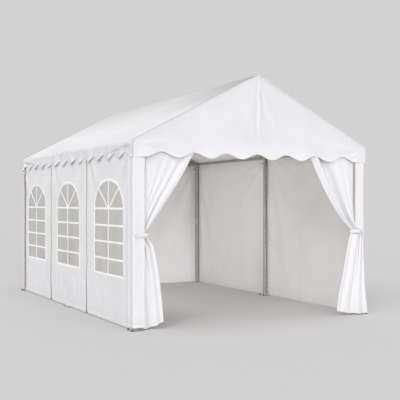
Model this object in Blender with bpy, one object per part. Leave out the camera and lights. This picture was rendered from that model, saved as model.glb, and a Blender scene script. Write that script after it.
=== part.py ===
# Marquee tent: a white gable canopy 3.0 m wide and 4.5 m long on a steel tube frame.
# Metres, +Z up. X runs across the tent, the open front gable faces -Y and the wall
# with the windows is at -X. The origin is on the ground at the middle of the tent.

import math

import bmesh
import bpy
from mathutils import Matrix, Vector

# Overall sizes
WIDTH = 3.000              # over the corner covers, side to side
LENGTH = 4.500             # over the corner covers, front to back
EAVE_HEIGHT = 2.000        # top of the roof cloth at the eave
RIDGE_HEIGHT = 2.780       # top of the roof cloth at the ridge

# Cloth
CLOTH = 0.003              # thickness of every cloth solid
SEAT = 0.0003              # gap between pieces that touch
ROOF_SEAT = 0.0005         # gap between the roof cloth and the couplers that carry it
GROUND_GAP = 0.010         # walls and covers stop this far above the ground
COVER_WIDTH = 0.130        # each leg of the angle of cloth that covers a corner post
COVER_DROP = 0.050         # from the eave down to the top of a corner cover

# Scalloped valance
VALANCE_DROP = 0.175       # from the eave down to the tips of the scallops
SCALLOP_RISE = 0.060
FRONT_SCALLOP = 0.391      # length of one scallop on the gables
SIDE_SCALLOP = 0.346       # length of one scallop on the sides
SCALLOP_MARGIN = 0.030     # plain edge left at each end of a side valance
POINTS_PER_SCALLOP = 8

# Tubes
POST_RADIUS = 0.025
TUBE_RADIUS = 0.019
SLEEVE_WALL = 0.0032
THIN_SLEEVE_WALL = 0.0028  # of the sleeves that run along the tent, just inside the others
TUBE_SIDES = 12
POST_GRIP = 0.085          # length of tube that a coupler's sleeve holds on a post
TUBE_GRIP = 0.065          # length of tube that it holds on any other tube
HUB = 0.034                # solid middle of a coupler, out to where its bores start
HUB_CAP = 0.008            # a post's sleeve stands this far over the coupler's centre
JOINT_DISTANCE = 0.900     # from the middle coupler to the sleeve that joins a purlin
JOINT_LENGTH = 0.110
FOOT_SIZE = 0.130
FOOT_THICKNESS = 0.006

# Windows, one in each panel of the left wall
PANEL_COUNT = 3
WINDOW_WIDTH = 0.960
WINDOW_SILL = 0.525
WINDOW_SPRING = 1.275      # height where the arch starts
WINDOW_RISE = 0.330        # height of the arch
ARCH_STEPS = 16
FILM = 0.001
FILM_LAP = 0.025           # the film is this much larger than its window all round

# Curtains of the open front: widths are measured from the inner edge of the corner cover
CURTAIN_THICKNESS = 0.045
TIE_HEIGHT = 1.000
STRAP_HEIGHT = 0.045
BUNDLE_DEPTH = 0.070       # gathered cloth at the strap, front to back
LEFT_CURTAIN = {"top": 0.600, "tie": 0.045, "hem": 0.215, "tuck": 0.045, "lift": 0.065}
RIGHT_CURTAIN = {"top": 0.680, "tie": 0.067, "hem": 0.270, "flare": 0.155, "lift": 0.035}
CURTAIN_FOLDS = 4
FOLD_DEPTH = 0.012
CURTAIN_STEPS = 24         # points across a curtain
CURTAIN_MARGIN = 0.020     # space between a curtain's top and the corner cover
STRAP_TAIL = 0.105         # the strap reaches this far over the corner cover

# Sizes that follow from those above
SLEEVE_POST = POST_RADIUS + SEAT + SLEEVE_WALL
SLEEVE_TUBE = TUBE_RADIUS + SEAT + SLEEVE_WALL
HALF_WIDTH = WIDTH / 2
HALF_LENGTH = LENGTH / 2
LAYER = CLOTH + SEAT
POST_X = HALF_WIDTH - 2 * LAYER - SLEEVE_POST
POST_Y = HALF_LENGTH - 2 * LAYER - SLEEVE_POST
SKIRT_X = HALF_WIDTH + LAYER           # outer face of the side valances
SKIRT_Y = HALF_LENGTH + LAYER          # outer face of the gables
SLOPE = math.atan2(RIDGE_HEIGHT - EAVE_HEIGHT, SKIRT_X)
ROOF_DROP = CLOTH / math.cos(SLOPE)    # upright thickness of the roof cloth
AXIS_DROP = (SLEEVE_TUBE + ROOF_SEAT + CLOTH) / math.cos(SLOPE)
VALANCE_TIP = EAVE_HEIGHT - VALANCE_DROP
COVER_TOP = EAVE_HEIGHT - COVER_DROP
DOOR_X = HALF_WIDTH - COVER_WIDTH      # inner edge of the corner covers


def roof_height(x):
    """Height of the outer face of the roof cloth."""
    return RIDGE_HEIGHT - abs(x) * math.tan(SLOPE)


NODE_EAVE = roof_height(POST_X) - AXIS_DROP      # centres of the eave couplers
NODE_RIDGE = RIDGE_HEIGHT - AXIS_DROP            # centres of the apex couplers
TUBE_STOP = HUB + SEAT                           # a tube's end, from its coupler's centre
# A rafter and a tie bar leave the same coupler at a narrow angle, so their bores start
# further out, where they are clear of each other.
FORK = (TUBE_RADIUS + SLEEVE_WALL) / math.sin(SLOPE / 2)
FORK_STOP = FORK + SEAT


def clear_scene():
    for item in list(bpy.data.objects):
        bpy.data.objects.remove(item, do_unlink=True)


def make_material(name, colour, roughness, metallic=0.0, alpha=1.0):
    material = bpy.data.materials.new(name)
    material.use_nodes = True
    shader = material.node_tree.nodes["Principled BSDF"]
    shader.inputs["Base Color"].default_value = (*colour, 1.0)
    shader.inputs["Roughness"].default_value = roughness
    shader.inputs["Metallic"].default_value = metallic
    shader.inputs["Alpha"].default_value = alpha
    return material


def make_object(name, mesh_builder, material, smooth=False):
    """Object from a bmesh, with its normals facing out."""
    bmesh.ops.recalc_face_normals(mesh_builder, faces=mesh_builder.faces)
    mesh = bpy.data.meshes.new(name)
    mesh_builder.to_mesh(mesh)
    mesh_builder.free()
    mesh.materials.append(material)
    if smooth:
        mesh.shade_smooth()
        mesh.set_sharp_from_angle(angle=math.radians(40))
    item = bpy.data.objects.new(name, mesh)
    bpy.context.scene.collection.objects.link(item)
    return item


def add_prism(shape, outline, axis, low, high):
    """Extrude a flat outline along an axis. The outline gives the other two coordinates."""
    def place(a, b, along):
        return {"X": (along, a, b), "Y": (a, along, b), "Z": (a, b, along)}[axis]

    bottom = [shape.verts.new(place(a, b, low)) for a, b in outline]
    face = shape.faces.new(bottom)
    result = bmesh.ops.extrude_face_region(shape, geom=[face])
    moved = [v for v in result["geom"] if isinstance(v, bmesh.types.BMVert)]
    shift = Vector(place(0, 0, high)) - Vector(place(0, 0, low))
    bmesh.ops.translate(shape, vec=shift, verts=moved)


def make_prism(name, outline, axis, low, high, material):
    shape = bmesh.new()
    add_prism(shape, outline, axis, low, high)
    return make_object(name, shape, material)


def rectangle(low_a, high_a, low_b, high_b):
    return [(low_a, low_b), (high_a, low_b), (high_a, high_b), (low_a, high_b)]


def tube_frame(start, direction, up):
    """Frame whose Z is the tube's axis, with a flat of the tube facing up."""
    along = Vector(direction).normalized()
    side = Vector(up).cross(along).normalized()
    frame = Matrix((side, along.cross(side), along)).transposed().to_4x4()
    return Matrix.Translation(Vector(start)) @ frame


def add_turned(shape, start, direction, up, profile):
    """Turned solid along an axis. The profile lists (distance, radius to the flats)."""
    frame = tube_frame(start, direction, up)
    rings = []
    for distance, radius in profile:
        corner = radius / math.cos(math.pi / TUBE_SIDES)
        turns = [(k + 0.5) * math.tau / TUBE_SIDES for k in range(TUBE_SIDES)]
        points = [Vector((corner * math.cos(t), corner * math.sin(t), distance)) for t in turns]
        rings.append([shape.verts.new(frame @ point) for point in points])
    shape.faces.new(rings[0][::-1])
    shape.faces.new(rings[-1])
    for lower, upper in zip(rings, rings[1:]):
        for k in range(TUBE_SIDES):
            after = (k + 1) % TUBE_SIDES
            shape.faces.new((lower[k], lower[after], upper[after], upper[k]))


def make_turned(name, start, direction, up, profile, material):
    shape = bmesh.new()
    add_turned(shape, start, direction, up, profile)
    return make_object(name, shape, material, smooth=True)


def combine(target, tool, operation):
    """Apply one Boolean step and delete the tool."""
    step = target.modifiers.new(operation.lower(), "BOOLEAN")
    step.operation = operation
    step.object = tool
    step.solver = "EXACT"
    graph = bpy.context.evaluated_depsgraph_get()
    result = bpy.data.meshes.new_from_object(target.evaluated_get(graph), depsgraph=graph)
    target.modifiers.clear()
    target.data = result
    bpy.data.objects.remove(tool, do_unlink=True)


def make_coupler(name, centre, arms, hub, steel):
    """Welded coupler: sleeves round a hub, each bored for its tube.

    An arm is (direction, up, start of its bore, grip on its tube, radius of its tube, wall).
    """
    x, y, z = centre
    start = (x, y - hub, z)
    coupler = make_turned(name, start, (0, 1, 0), (0, 0, 1), [(0, hub), (2 * hub, hub)], steel)
    for direction, up, stop, grip, radius, wall in arms:
        outer = radius + SEAT + wall
        back = -HUB_CAP if direction == DOWN else 0
        profile = [(back, outer), (stop + grip, outer)]
        combine(coupler, make_turned("sleeve", centre, direction, up, profile, steel), "UNION")
    for direction, up, stop, grip, radius, wall in arms:
        bore = radius + SEAT
        depth = [(stop, bore), (stop + grip + bore, bore)]
        combine(coupler, make_turned("bore", centre, direction, up, depth, steel), "DIFFERENCE")
    coupler.data.shade_smooth()
    coupler.data.set_sharp_from_angle(angle=math.radians(40))


DOWN = (0, 0, -1)
INWARD = {"front": (0, 1, 0), "back": (0, -1, 0)}
SIDES = {"left": -1, "right": 1}
TRUSSES = {"front": -POST_Y, "middle": 0.0, "back": POST_Y}


def slope_direction(side):
    """Unit vector that runs up the rafter of one side."""
    return (-side * math.cos(SLOPE), 0, math.sin(SLOPE))


def slope_normal(side):
    return (side * math.sin(SLOPE), 0, math.cos(SLOPE))


def build_posts(steel):
    plate = FOOT_SIZE / 2
    for truss, y in TRUSSES.items():
        for side_name, side in SIDES.items():
            x = side * POST_X
            name = f"post_{truss}_{side_name}"
            profile = [(FOOT_THICKNESS / 2, POST_RADIUS), (NODE_EAVE - TUBE_STOP, POST_RADIUS)]
            post = make_turned(name, (x, y, 0), (0, 0, 1), (0, 1, 0), profile, steel)
            outline = rectangle(x - plate, x + plate, y - plate, y + plate)
            combine(post, make_prism("foot", outline, "Z", 0, FOOT_THICKNESS, steel), "UNION")
            post.data.shade_smooth()
            post.data.set_sharp_from_angle(angle=math.radians(40))


def build_eave_couplers(steel):
    for truss, y in TRUSSES.items():
        for side_name, side in SIDES.items():
            up = slope_normal(side)
            arms = [(DOWN, (0, 1, 0), HUB, POST_GRIP, POST_RADIUS, SLEEVE_WALL),
                    (slope_direction(side), up, FORK, TUBE_GRIP, TUBE_RADIUS, SLEEVE_WALL)]
            if truss == "middle":
                runs = list(INWARD.values())
            else:
                runs = [INWARD[truss]]
                across = (-side, 0, 0)
                arms.append((across, (0, 0, 1), FORK, TUBE_GRIP, TUBE_RADIUS, SLEEVE_WALL))
            arms += [(run, up, HUB, TUBE_GRIP, TUBE_RADIUS, THIN_SLEEVE_WALL) for run in runs]
            centre = (side * POST_X, y, NODE_EAVE)
            make_coupler(f"eave_coupler_{truss}_{side_name}", centre, arms, TUBE_RADIUS, steel)


def build_apex_couplers(steel):
    for truss, y in TRUSSES.items():
        arms = []
        for side in SIDES.values():
            downhill = tuple(-value for value in slope_direction(side))
            arms.append((downhill, slope_normal(side), HUB, TUBE_GRIP, TUBE_RADIUS, SLEEVE_WALL))
        runs = list(INWARD.values()) if truss == "middle" else [INWARD[truss]]
        arms += [(run, (0, 0, 1), HUB, TUBE_GRIP, TUBE_RADIUS, THIN_SLEEVE_WALL) for run in runs]
        make_coupler(f"apex_coupler_{truss}", (0, y, NODE_RIDGE), arms, TUBE_RADIUS, steel)


def build_tubes(steel):
    plain = TUBE_RADIUS
    rafter = math.hypot(POST_X, NODE_RIDGE - NODE_EAVE)
    for truss, y in TRUSSES.items():
        for side_name, side in SIDES.items():
            start = (side * POST_X, y, NODE_EAVE)
            make_turned(f"rafter_{truss}_{side_name}", start, slope_direction(side),
                        slope_normal(side), [(FORK_STOP, plain), (rafter - TUBE_STOP, plain)], steel)
        if truss != "middle":
            make_turned(f"tie_bar_{truss}", (-POST_X, y, NODE_EAVE), (1, 0, 0), (0, 0, 1),
                        [(FORK_STOP, plain), (2 * POST_X - FORK_STOP, plain)], steel)
    for bay, run in (("front", INWARD["back"]), ("back", INWARD["front"])):
        low = JOINT_DISTANCE - JOINT_LENGTH / 2
        high = JOINT_DISTANCE + JOINT_LENGTH / 2
        ring = SLEEVE_TUBE
        jointed = [(TUBE_STOP, plain), (low, plain), (low, ring), (high, ring), (high, plain),
                   (POST_Y - TUBE_STOP, plain)]
        for side_name, side in SIDES.items():
            make_turned(f"eave_purlin_{bay}_{side_name}", (side * POST_X, 0, NODE_EAVE), run,
                        slope_normal(side), jointed, steel)
        make_turned(f"ridge_purlin_{bay}", (0, 0, NODE_RIDGE), run, (0, 0, 1),
                    [(TUBE_STOP, plain), (POST_Y - TUBE_STOP, plain)], steel)


def scalloped_edge(low, high, pitch):
    """Points of a wavy lower edge, from low to high."""
    count = max(1, round((high - low) / pitch))
    points = []
    for k in range(count * POINTS_PER_SCALLOP + 1):
        share = k / (count * POINTS_PER_SCALLOP)
        lift = (1 - math.cos(math.tau * share * count)) / 2
        points.append((low + (high - low) * share, VALANCE_TIP + SCALLOP_RISE * lift))
    return points


def build_roof(cloth):
    for side_name, side in SIDES.items():
        ridge = side * SEAT / 2
        edge = side * SKIRT_X
        outline = [(ridge, roof_height(ridge)), (edge, roof_height(edge)),
                   (edge, roof_height(edge) - ROOF_DROP), (ridge, roof_height(ridge) - ROOF_DROP)]
        make_prism(f"roof_{side_name}", outline, "Y", -SKIRT_Y, SKIRT_Y, cloth)


def build_gables(cloth):
    top = -ROOF_DROP - SEAT
    wave = scalloped_edge(-DOOR_X, DOOR_X, FRONT_SCALLOP)
    outline = [(-SKIRT_X, VALANCE_TIP), *wave, (SKIRT_X, VALANCE_TIP),
               (SKIRT_X, EAVE_HEIGHT + top), (0, RIDGE_HEIGHT + top), (-SKIRT_X, EAVE_HEIGHT + top)]
    for end, sign in (("front", -1), ("back", 1)):
        faces = sorted((sign * (HALF_LENGTH + SEAT), sign * SKIRT_Y))
        make_prism(f"gable_{end}", outline, "Y", *faces, cloth)


def build_side_valances(cloth):
    end = HALF_LENGTH
    reach = end - SCALLOP_MARGIN
    top = EAVE_HEIGHT - ROOF_DROP - SEAT
    wave = scalloped_edge(-reach, reach, SIDE_SCALLOP)
    outline = [(-end, VALANCE_TIP), *wave, (end, VALANCE_TIP), (end, top), (-end, top)]
    for side_name, side in SIDES.items():
        faces = sorted((side * (HALF_WIDTH + SEAT), side * SKIRT_X))
        make_prism(f"valance_{side_name}", outline, "X", *faces, cloth)


def window_outline(centre, lap=0.0):
    """Arched window, with its upright sides and an elliptical head."""
    half = WINDOW_WIDTH / 2 + lap
    points = [(centre - half, WINDOW_SILL - lap), (centre + half, WINDOW_SILL - lap)]
    for k in range(ARCH_STEPS + 1):
        turn = math.pi * k / ARCH_STEPS
        rise = (WINDOW_RISE + lap) * math.sin(turn)
        points.append((centre + half * math.cos(turn), WINDOW_SPRING + rise))
    return points


def build_walls(cloth, film):
    outer = HALF_WIDTH - LAYER
    inner = outer - CLOTH
    top = NODE_EAVE + HUB_CAP
    reach = HALF_LENGTH - LAYER
    names = ("front", "middle", "back")
    panel = LENGTH / PANEL_COUNT
    for k, name in enumerate(names):
        low = max(-reach, -HALF_LENGTH + k * panel + SEAT / 2)
        high = min(reach, -HALF_LENGTH + (k + 1) * panel - SEAT / 2)
        centre = -HALF_LENGTH + (k + 0.5) * panel
        wall = make_prism(f"wall_left_{name}", rectangle(low, high, GROUND_GAP, top), "X",
                          -outer, -inner, cloth)
        hole = make_prism("hole", window_outline(centre), "X", -outer - CLOTH, -inner + CLOTH, cloth)
        combine(wall, hole, "DIFFERENCE")
        make_prism(f"window_film_{name}", window_outline(centre, FILM_LAP), "X",
                   -inner + SEAT, -inner + SEAT + FILM, film)
    make_prism("wall_right", rectangle(-reach, reach, GROUND_GAP, top), "X", inner, outer, cloth)
    span = inner - SEAT
    make_prism("wall_back", rectangle(-span, span, GROUND_GAP, top), "Y",
               HALF_LENGTH - LAYER - CLOTH, HALF_LENGTH - LAYER, cloth)


def build_corner_covers(cloth):
    for end, sign in (("front", -1), ("back", 1)):
        for side_name, side in SIDES.items():
            x, y = HALF_WIDTH, HALF_LENGTH
            angle = [(x, y), (x - COVER_WIDTH, y), (x - COVER_WIDTH, y - CLOTH), (x - CLOTH, y - CLOTH),
                     (x - CLOTH, y - COVER_WIDTH), (x, y - COVER_WIDTH)]
            outline = [(side * a, sign * b) for a, b in angle]
            make_prism(f"corner_cover_{end}_{side_name}", outline, "Z", GROUND_GAP, COVER_TOP, cloth)


def mix(a, b, share):
    return a + (b - a) * share


def make_curtain(name, side, stations, material):
    """Gathered cloth as a loft of wavy slabs.

    A station is (height, outer reach, inner reach, front, back, fold depth, lift). Reaches
    are measured inboard from the corner cover, front and back are distances in front of its
    outer face, and lift raises the inboard end.
    """
    shape = bmesh.new()
    rings = []
    for height, start, reach, front, back, depth, lift in stations:
        outside, inside = [], []
        for k in range(CURTAIN_STEPS + 1):
            share = k / CURTAIN_STEPS
            fold = depth * math.sin(math.pi * CURTAIN_FOLDS * share) ** 2
            x = side * (DOOR_X - mix(start, reach, share))
            z = height + lift * share ** 2
            outside.append((x, -HALF_LENGTH - front + fold, z))
            inside.append((x, -HALF_LENGTH - back + fold, z))
        rings.append([shape.verts.new(point) for point in outside + inside[::-1]])
    shape.faces.new(rings[0])
    shape.faces.new(rings[-1])
    count = len(rings[0])
    for upper, lower in zip(rings, rings[1:]):
        for k in range(count):
            after = (k + 1) % count
            shape.faces.new((upper[k], upper[after], lower[after], lower[k]))
    return make_object(name, shape, material, smooth=True)


def build_curtains(cloth):
    top = NODE_EAVE - SLEEVE_TUBE - SEAT
    strap_top = TIE_HEIGHT + STRAP_HEIGHT / 2
    strap_low = TIE_HEIGHT - STRAP_HEIGHT / 2
    behind = -LAYER
    thin = behind - CURTAIN_THICKNESS
    deep = behind - BUNDLE_DEPTH

    size = LEFT_CURTAIN
    tie, hem, tuck = size["tie"], size["hem"], -size["tuck"]
    stations = [
        (top, CURTAIN_MARGIN, size["top"], behind, thin, FOLD_DEPTH, 0),
        (mix(top, TIE_HEIGHT, 0.5), 0, mix(size["top"], tie, 0.55), behind, thin, FOLD_DEPTH, 0),
        (mix(top, TIE_HEIGHT, 0.85), tuck, mix(size["top"], tie, 0.9), behind, deep, 0, 0),
        (strap_top, tuck, tie, behind, deep, 0, 0),
        (strap_low, tuck, tie, behind, deep, 0, 0),
        (mix(TIE_HEIGHT, GROUND_GAP, 0.25), tuck, mix(tie, hem, 0.45), behind, deep, 0, 0),
        (mix(TIE_HEIGHT, GROUND_GAP, 0.6), tuck, mix(tie, hem, 0.8), behind, deep, FOLD_DEPTH, 0),
        (GROUND_GAP, tuck, hem, behind, deep, FOLD_DEPTH, size["lift"]),
    ]
    make_curtain("curtain_left", SIDES["left"], stations, cloth)

    size = RIGHT_CURTAIN
    tie, hem, flare = size["tie"], size["hem"], -size["flare"]
    near = LAYER + FOLD_DEPTH
    proud = near + CURTAIN_THICKNESS
    middle = BUNDLE_DEPTH / 2
    stations = [
        (top, CURTAIN_MARGIN, size["top"], behind, thin, FOLD_DEPTH, 0),
        (mix(top, TIE_HEIGHT, 0.5), CURTAIN_MARGIN, mix(size["top"], tie, 0.55), behind, thin,
         FOLD_DEPTH, 0),
        (mix(top, TIE_HEIGHT, 0.85), SEAT, mix(size["top"], tie, 0.9), 0, -BUNDLE_DEPTH, 0, 0),
        (strap_top, SEAT, tie, middle, -middle, 0, 0),
        (strap_low, SEAT, tie, middle, -middle, 0, 0),
        (mix(TIE_HEIGHT, GROUND_GAP, 0.08), SEAT, tie, proud, near, 0, 0),
        (mix(TIE_HEIGHT, GROUND_GAP, 0.3), flare / 2, mix(tie, hem, 0.45), proud, near, FOLD_DEPTH, 0),
        (mix(TIE_HEIGHT, GROUND_GAP, 0.6), flare * 0.8, mix(tie, hem, 0.75), proud, near,
         FOLD_DEPTH, 0),
        (GROUND_GAP, flare, hem, proud, near, FOLD_DEPTH, size["lift"]),
    ]
    make_curtain("curtain_right", SIDES["right"], stations, cloth)


def build_tieback(name, side, path, cloth):
    """Strap with a centre line seen from above: (inboard of the corner cover, in front of its face)."""
    half = CLOTH / 2
    points = [Vector((side * (DOOR_X - a), -HALF_LENGTH - b)) for a, b in path]
    left, right = [], []
    for k, point in enumerate(points):
        before = points[max(k - 1, 0)]
        after = points[min(k + 1, len(points) - 1)]
        enter = (point - before).normalized() if k else (after - point).normalized()
        leave = (after - point).normalized() if k < len(points) - 1 else enter
        normal = Vector((-(enter + leave).y, (enter + leave).x)).normalized()
        width = half / max(0.3, normal.dot(Vector((-leave.y, leave.x))))
        left.append(tuple(point + normal * width))
        right.append(tuple(point - normal * width))
    outline = left + right[::-1]
    low = TIE_HEIGHT - STRAP_HEIGHT / 2
    make_prism(name, outline, "Z", low, low + STRAP_HEIGHT, cloth)


def build_tiebacks(cloth):
    skin = CLOTH / 2 + SEAT
    post = COVER_WIDTH - (HALF_WIDTH - POST_X) - POST_RADIUS
    left_tie = LEFT_CURTAIN["tie"] + skin
    left_back = -LAYER - BUNDLE_DEPTH - skin
    build_tieback("tieback_left", SIDES["left"], [
        (-STRAP_TAIL, skin), (left_tie, skin), (left_tie, left_back),
        (-LEFT_CURTAIN["tuck"], left_back)], cloth)
    right_tie = RIGHT_CURTAIN["tie"] + skin
    middle = BUNDLE_DEPTH / 2 + skin
    build_tieback("tieback_right", SIDES["right"], [
        (-STRAP_TAIL, skin), (-skin, skin), (-skin, middle), (right_tie, middle),
        (right_tie, -middle), (-post + skin, -middle)], cloth)


def build_tent():
    clear_scene()
    steel = make_material("galvanised_steel", (0.45, 0.45, 0.44), 0.45, metallic=0.9)
    roof_cloth = make_material("roof_cloth", (0.90, 0.90, 0.92), 0.55)
    wall_cloth = make_material("wall_cloth", (0.87, 0.87, 0.89), 0.60)
    film = make_material("window_film", (0.80, 0.80, 0.79), 0.20, alpha=0.35)
    build_posts(steel)
    build_eave_couplers(steel)
    build_apex_couplers(steel)
    build_tubes(steel)
    build_roof(roof_cloth)
    build_gables(roof_cloth)
    build_side_valances(roof_cloth)
    build_walls(wall_cloth, film)
    build_corner_covers(wall_cloth)
    build_curtains(wall_cloth)
    build_tiebacks(wall_cloth)


build_tent()
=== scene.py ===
import math

import bmesh
import bpy
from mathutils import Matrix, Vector, noise


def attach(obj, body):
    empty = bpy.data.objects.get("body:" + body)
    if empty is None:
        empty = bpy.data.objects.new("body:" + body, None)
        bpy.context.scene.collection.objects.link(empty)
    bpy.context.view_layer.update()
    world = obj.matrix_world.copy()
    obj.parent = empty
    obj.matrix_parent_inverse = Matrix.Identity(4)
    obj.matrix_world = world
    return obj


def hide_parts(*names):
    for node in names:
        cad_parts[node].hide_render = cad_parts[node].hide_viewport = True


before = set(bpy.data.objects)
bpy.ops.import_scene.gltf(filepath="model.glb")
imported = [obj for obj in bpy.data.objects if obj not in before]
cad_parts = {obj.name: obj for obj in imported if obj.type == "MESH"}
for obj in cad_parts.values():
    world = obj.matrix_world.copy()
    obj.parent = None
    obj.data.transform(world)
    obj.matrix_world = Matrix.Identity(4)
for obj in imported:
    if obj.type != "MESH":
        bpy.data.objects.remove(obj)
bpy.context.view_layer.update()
print("tent: frame loaded,", len(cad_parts), "nodes")

# sizes that more than one piece shares, in metres
tent = {
    "halfWidth": 1.5,  # outer face of the corner covers
    "halfLength": 2.25,
    "eave": 2.0,
    "ridge": 2.78,
    "skirtX": 1.5033,  # outer face of the side valances
    "skirtY": 2.2533,  # outer face of the gables
    "tip": 1.825,  # lowest points of the scallops
    "rise": 0.06,  # from the tips up to the hollows
    "door": 1.37,  # inner edge of the corner covers
    "postX": 1.4649,
    "postY": 2.2149,
    "coupler": 1.9906,  # height of the eave couplers' centres
    "apex": 2.7507,  # height of the apex couplers' centres
    "ground": 0.01,  # gap under the left wall
    "fabric": 0.0016,
}
slope = math.atan2(tent["ridge"] - tent["eave"], tent["skirtX"])
ends = {"front": -1, "back": 1}
sides = {"left": -1, "right": 1}
frames = (-tent["postY"], 0.0, tent["postY"])  # posts and rafters along y


# small helpers for numbers and noise

def mix(a, b, share):
    return a + (b - a) * share


def smooth(low, high, value):
    share = min(max((value - low) / (high - low), 0), 1)
    return share * share * (3 - 2 * share)


def bell(distance, width):
    return math.exp(-(distance / width) ** 2)


def wave(share, count):
    return math.cos(math.tau * share * count)


def ripple(x, y, size, seed=0.0):
    return noise.noise(Vector((x / size, y / size, seed)))


def crumple(x, y, size, seed=0.0):
    # soft creases: ridged noise over two sizes
    first = 1 - abs(ripple(x, y, size, seed)) * 2
    second = 1 - abs(ripple(x * 2.3, y * 2.3, size, seed + 7)) * 2
    return first * 0.7 + second * 0.3 - 0.62


def radialFolds(a, b, anchor, count, reach, seed=0.0):
    # folds that run out from a point where the cloth is held
    across = a - anchor[0]
    down = b - anchor[1]
    distance = math.hypot(across, down) / reach
    if distance > 4:
        return 0
    turn = math.atan2(down, across)
    wander = ripple(turn * 1.7, distance * 0.6, 1.0, seed) * 1.6
    return distance * math.exp(1 - distance * 1.6) * math.sin(count * turn + seed + wander)


def curveThrough(stations, share):
    # smooth run through a list of equal-length tuples, share from 0 to 1
    last = len(stations) - 1
    place = min(max(share, 0), 1) * last
    k = min(int(place), last - 1)
    t = place - k
    before = stations[max(k - 1, 0)]
    after = stations[min(k + 2, last)]
    return [0.5 * (2 * p1 + (p2 - p0) * t + (2 * p0 - 5 * p1 + 4 * p2 - p3) * t * t
                   + (3 * p1 - p0 - 3 * p2 + p3) * t ** 3)
            for p0, p1, p2, p3 in zip(before, stations[k], stations[k + 1], after)]


def steps(low, high, spacing):
    count = max(1, math.ceil(abs(high - low) / spacing))
    return [mix(low, high, k / count) for k in range(count + 1)]


def levelPath(low, high, level, spacing):
    return [(a, level) for a in steps(low, high, spacing)]


def uprightPath(a, low, high, spacing):
    return [(a, z) for z in steps(low, high, spacing)]


# mesh helpers

def addGrid(bm, columns, rows, place):
    # an operator grid moved point by point; place gives a point and its spot on the flat cloth
    uvLayer = bm.loops.layers.uv.get("UVMap") or bm.loops.layers.uv.new("UVMap")
    made = bmesh.ops.create_grid(bm, x_segments=columns, y_segments=rows, size=0.5)["verts"]
    for vert in made:
        i = round((vert.co.x + 0.5) * columns)
        j = round((vert.co.y + 0.5) * rows)
        vert.co, flat = place(i, j)
        for loop in vert.link_loops:
            loop[uvLayer].uv = flat
    return made


def addStrip(bm, stations, profile, ring=False):
    # a profile carried along stations of (middle, across, outward)
    columns = len(stations) if ring else len(stations) - 1
    rows = len(profile)
    run = [0.0]
    for k in range(columns):
        run.append(run[-1] + (stations[(k + 1) % len(stations)][0] - stations[k][0]).length)

    def place(i, j):
        middle, across, outward = stations[i % len(stations)]
        a, b, edge = profile[j % rows]
        return middle + across * a + outward * b, (run[i], edge)

    made = addGrid(bm, columns, rows, place)
    bmesh.ops.remove_doubles(bm, verts=made, dist=1e-6)
    if not ring:
        rims = [e for e in bm.edges if e.is_boundary]
        bmesh.ops.holes_fill(bm, edges=rims, sides=0)


def bandProfile(width, thickness, sink=0.0003):
    # flat band with eased edges; the third number is how far a point is from the nearer edge
    half = width / 2
    ease = thickness * 0.8
    return [(-half, -sink, 0), (-half, thickness * 0.5, 0), (-half + ease, thickness, ease),
            (0, thickness, half), (half - ease, thickness, ease), (half, thickness * 0.5, 0),
            (half, -sink, 0), (0, -sink, half)]


def roundProfile(radius, count=8):
    # the third number tells the outer half from the inner one
    turns = [math.tau * k / count for k in range(count)]
    return [(radius * math.cos(turn), radius * math.sin(turn), 0.03 + radius * math.cos(turn))
            for turn in turns]


def alongSurface(path, surface, ring=False):
    # stations for addStrip on a surface(a, b, lift)
    points = [surface(a, b, 0) for a, b in path]
    legs = [(b - a).normalized() for a, b in zip(points, points[1:] + points[:1])]
    if not ring:
        legs[-1] = legs[-2]
    stations = []
    for k, (a, b) in enumerate(path):
        outward = (surface(a, b, 0.001) - points[k]).normalized()
        enter = legs[k - 1] if ring or k else legs[0]
        across = outward.cross((enter + legs[k]).normalized()).normalized()
        square = max(0.5, across.dot(outward.cross(legs[k]).normalized()))
        stations.append((points[k], across / square, outward))
    return stations


def sewBand(bm, path, surface, width, thickness, sink=0.0003, ring=False):
    addStrip(bm, alongSurface(path, surface, ring), bandProfile(width, thickness, sink), ring)


def sewPiece(name, surface, bands, material=None):
    # one piece of several bands, each a tuple of path, width, thickness and sink
    bm = bmesh.new()
    for path, *band in bands:
        sewBand(bm, path, surface, *band)
    return makePiece(name, bm, material or hemFabric)


def makePiece(name, bm, material, nodes=(), thickness=0.0, turn=None, sharp=45):
    # turn is the side that the cloth's front faces, so that the thickness is added evenly
    if turn is None:
        bmesh.ops.recalc_face_normals(bm, faces=bm.faces)
    else:
        bm.normal_update()
        facing = sum((f.normal * f.calc_area() for f in bm.faces), Vector())
        if facing.dot(Vector(turn)) < 0:
            bmesh.ops.reverse_faces(bm, faces=bm.faces)
    mesh = bpy.data.meshes.new(name)
    bm.to_mesh(mesh)
    bm.free()
    mesh.materials.append(material)
    piece = bpy.data.objects.new(name, mesh)
    bpy.context.scene.collection.objects.link(piece)
    if thickness:
        shell = piece.modifiers.new("thickness", "SOLIDIFY")
        shell.thickness = thickness
        shell.offset = 0
        graph = bpy.context.evaluated_depsgraph_get()
        piece.data = bpy.data.meshes.new_from_object(piece.evaluated_get(graph), depsgraph=graph)
        piece.data.name = name
        piece.modifiers.clear()
    piece.data.shade_smooth()
    piece.data.set_sharp_from_angle(angle=math.radians(sharp))
    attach(piece, "root")
    if nodes:
        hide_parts(*nodes)
    return piece


def makeSheet(name, columns, rows, place, material, node, turn, thickness=tent["fabric"],
              ring=False):
    # a grid of cloth or film that stands for one node, or for a tuple of them
    bm = bmesh.new()
    made = addGrid(bm, columns, rows, place)
    if ring:
        bmesh.ops.remove_doubles(bm, verts=made, dist=1e-6)
    nodes = node if isinstance(node, tuple) else (node,)
    return makePiece(name, bm, material, nodes, thickness, turn)


# materials

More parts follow.
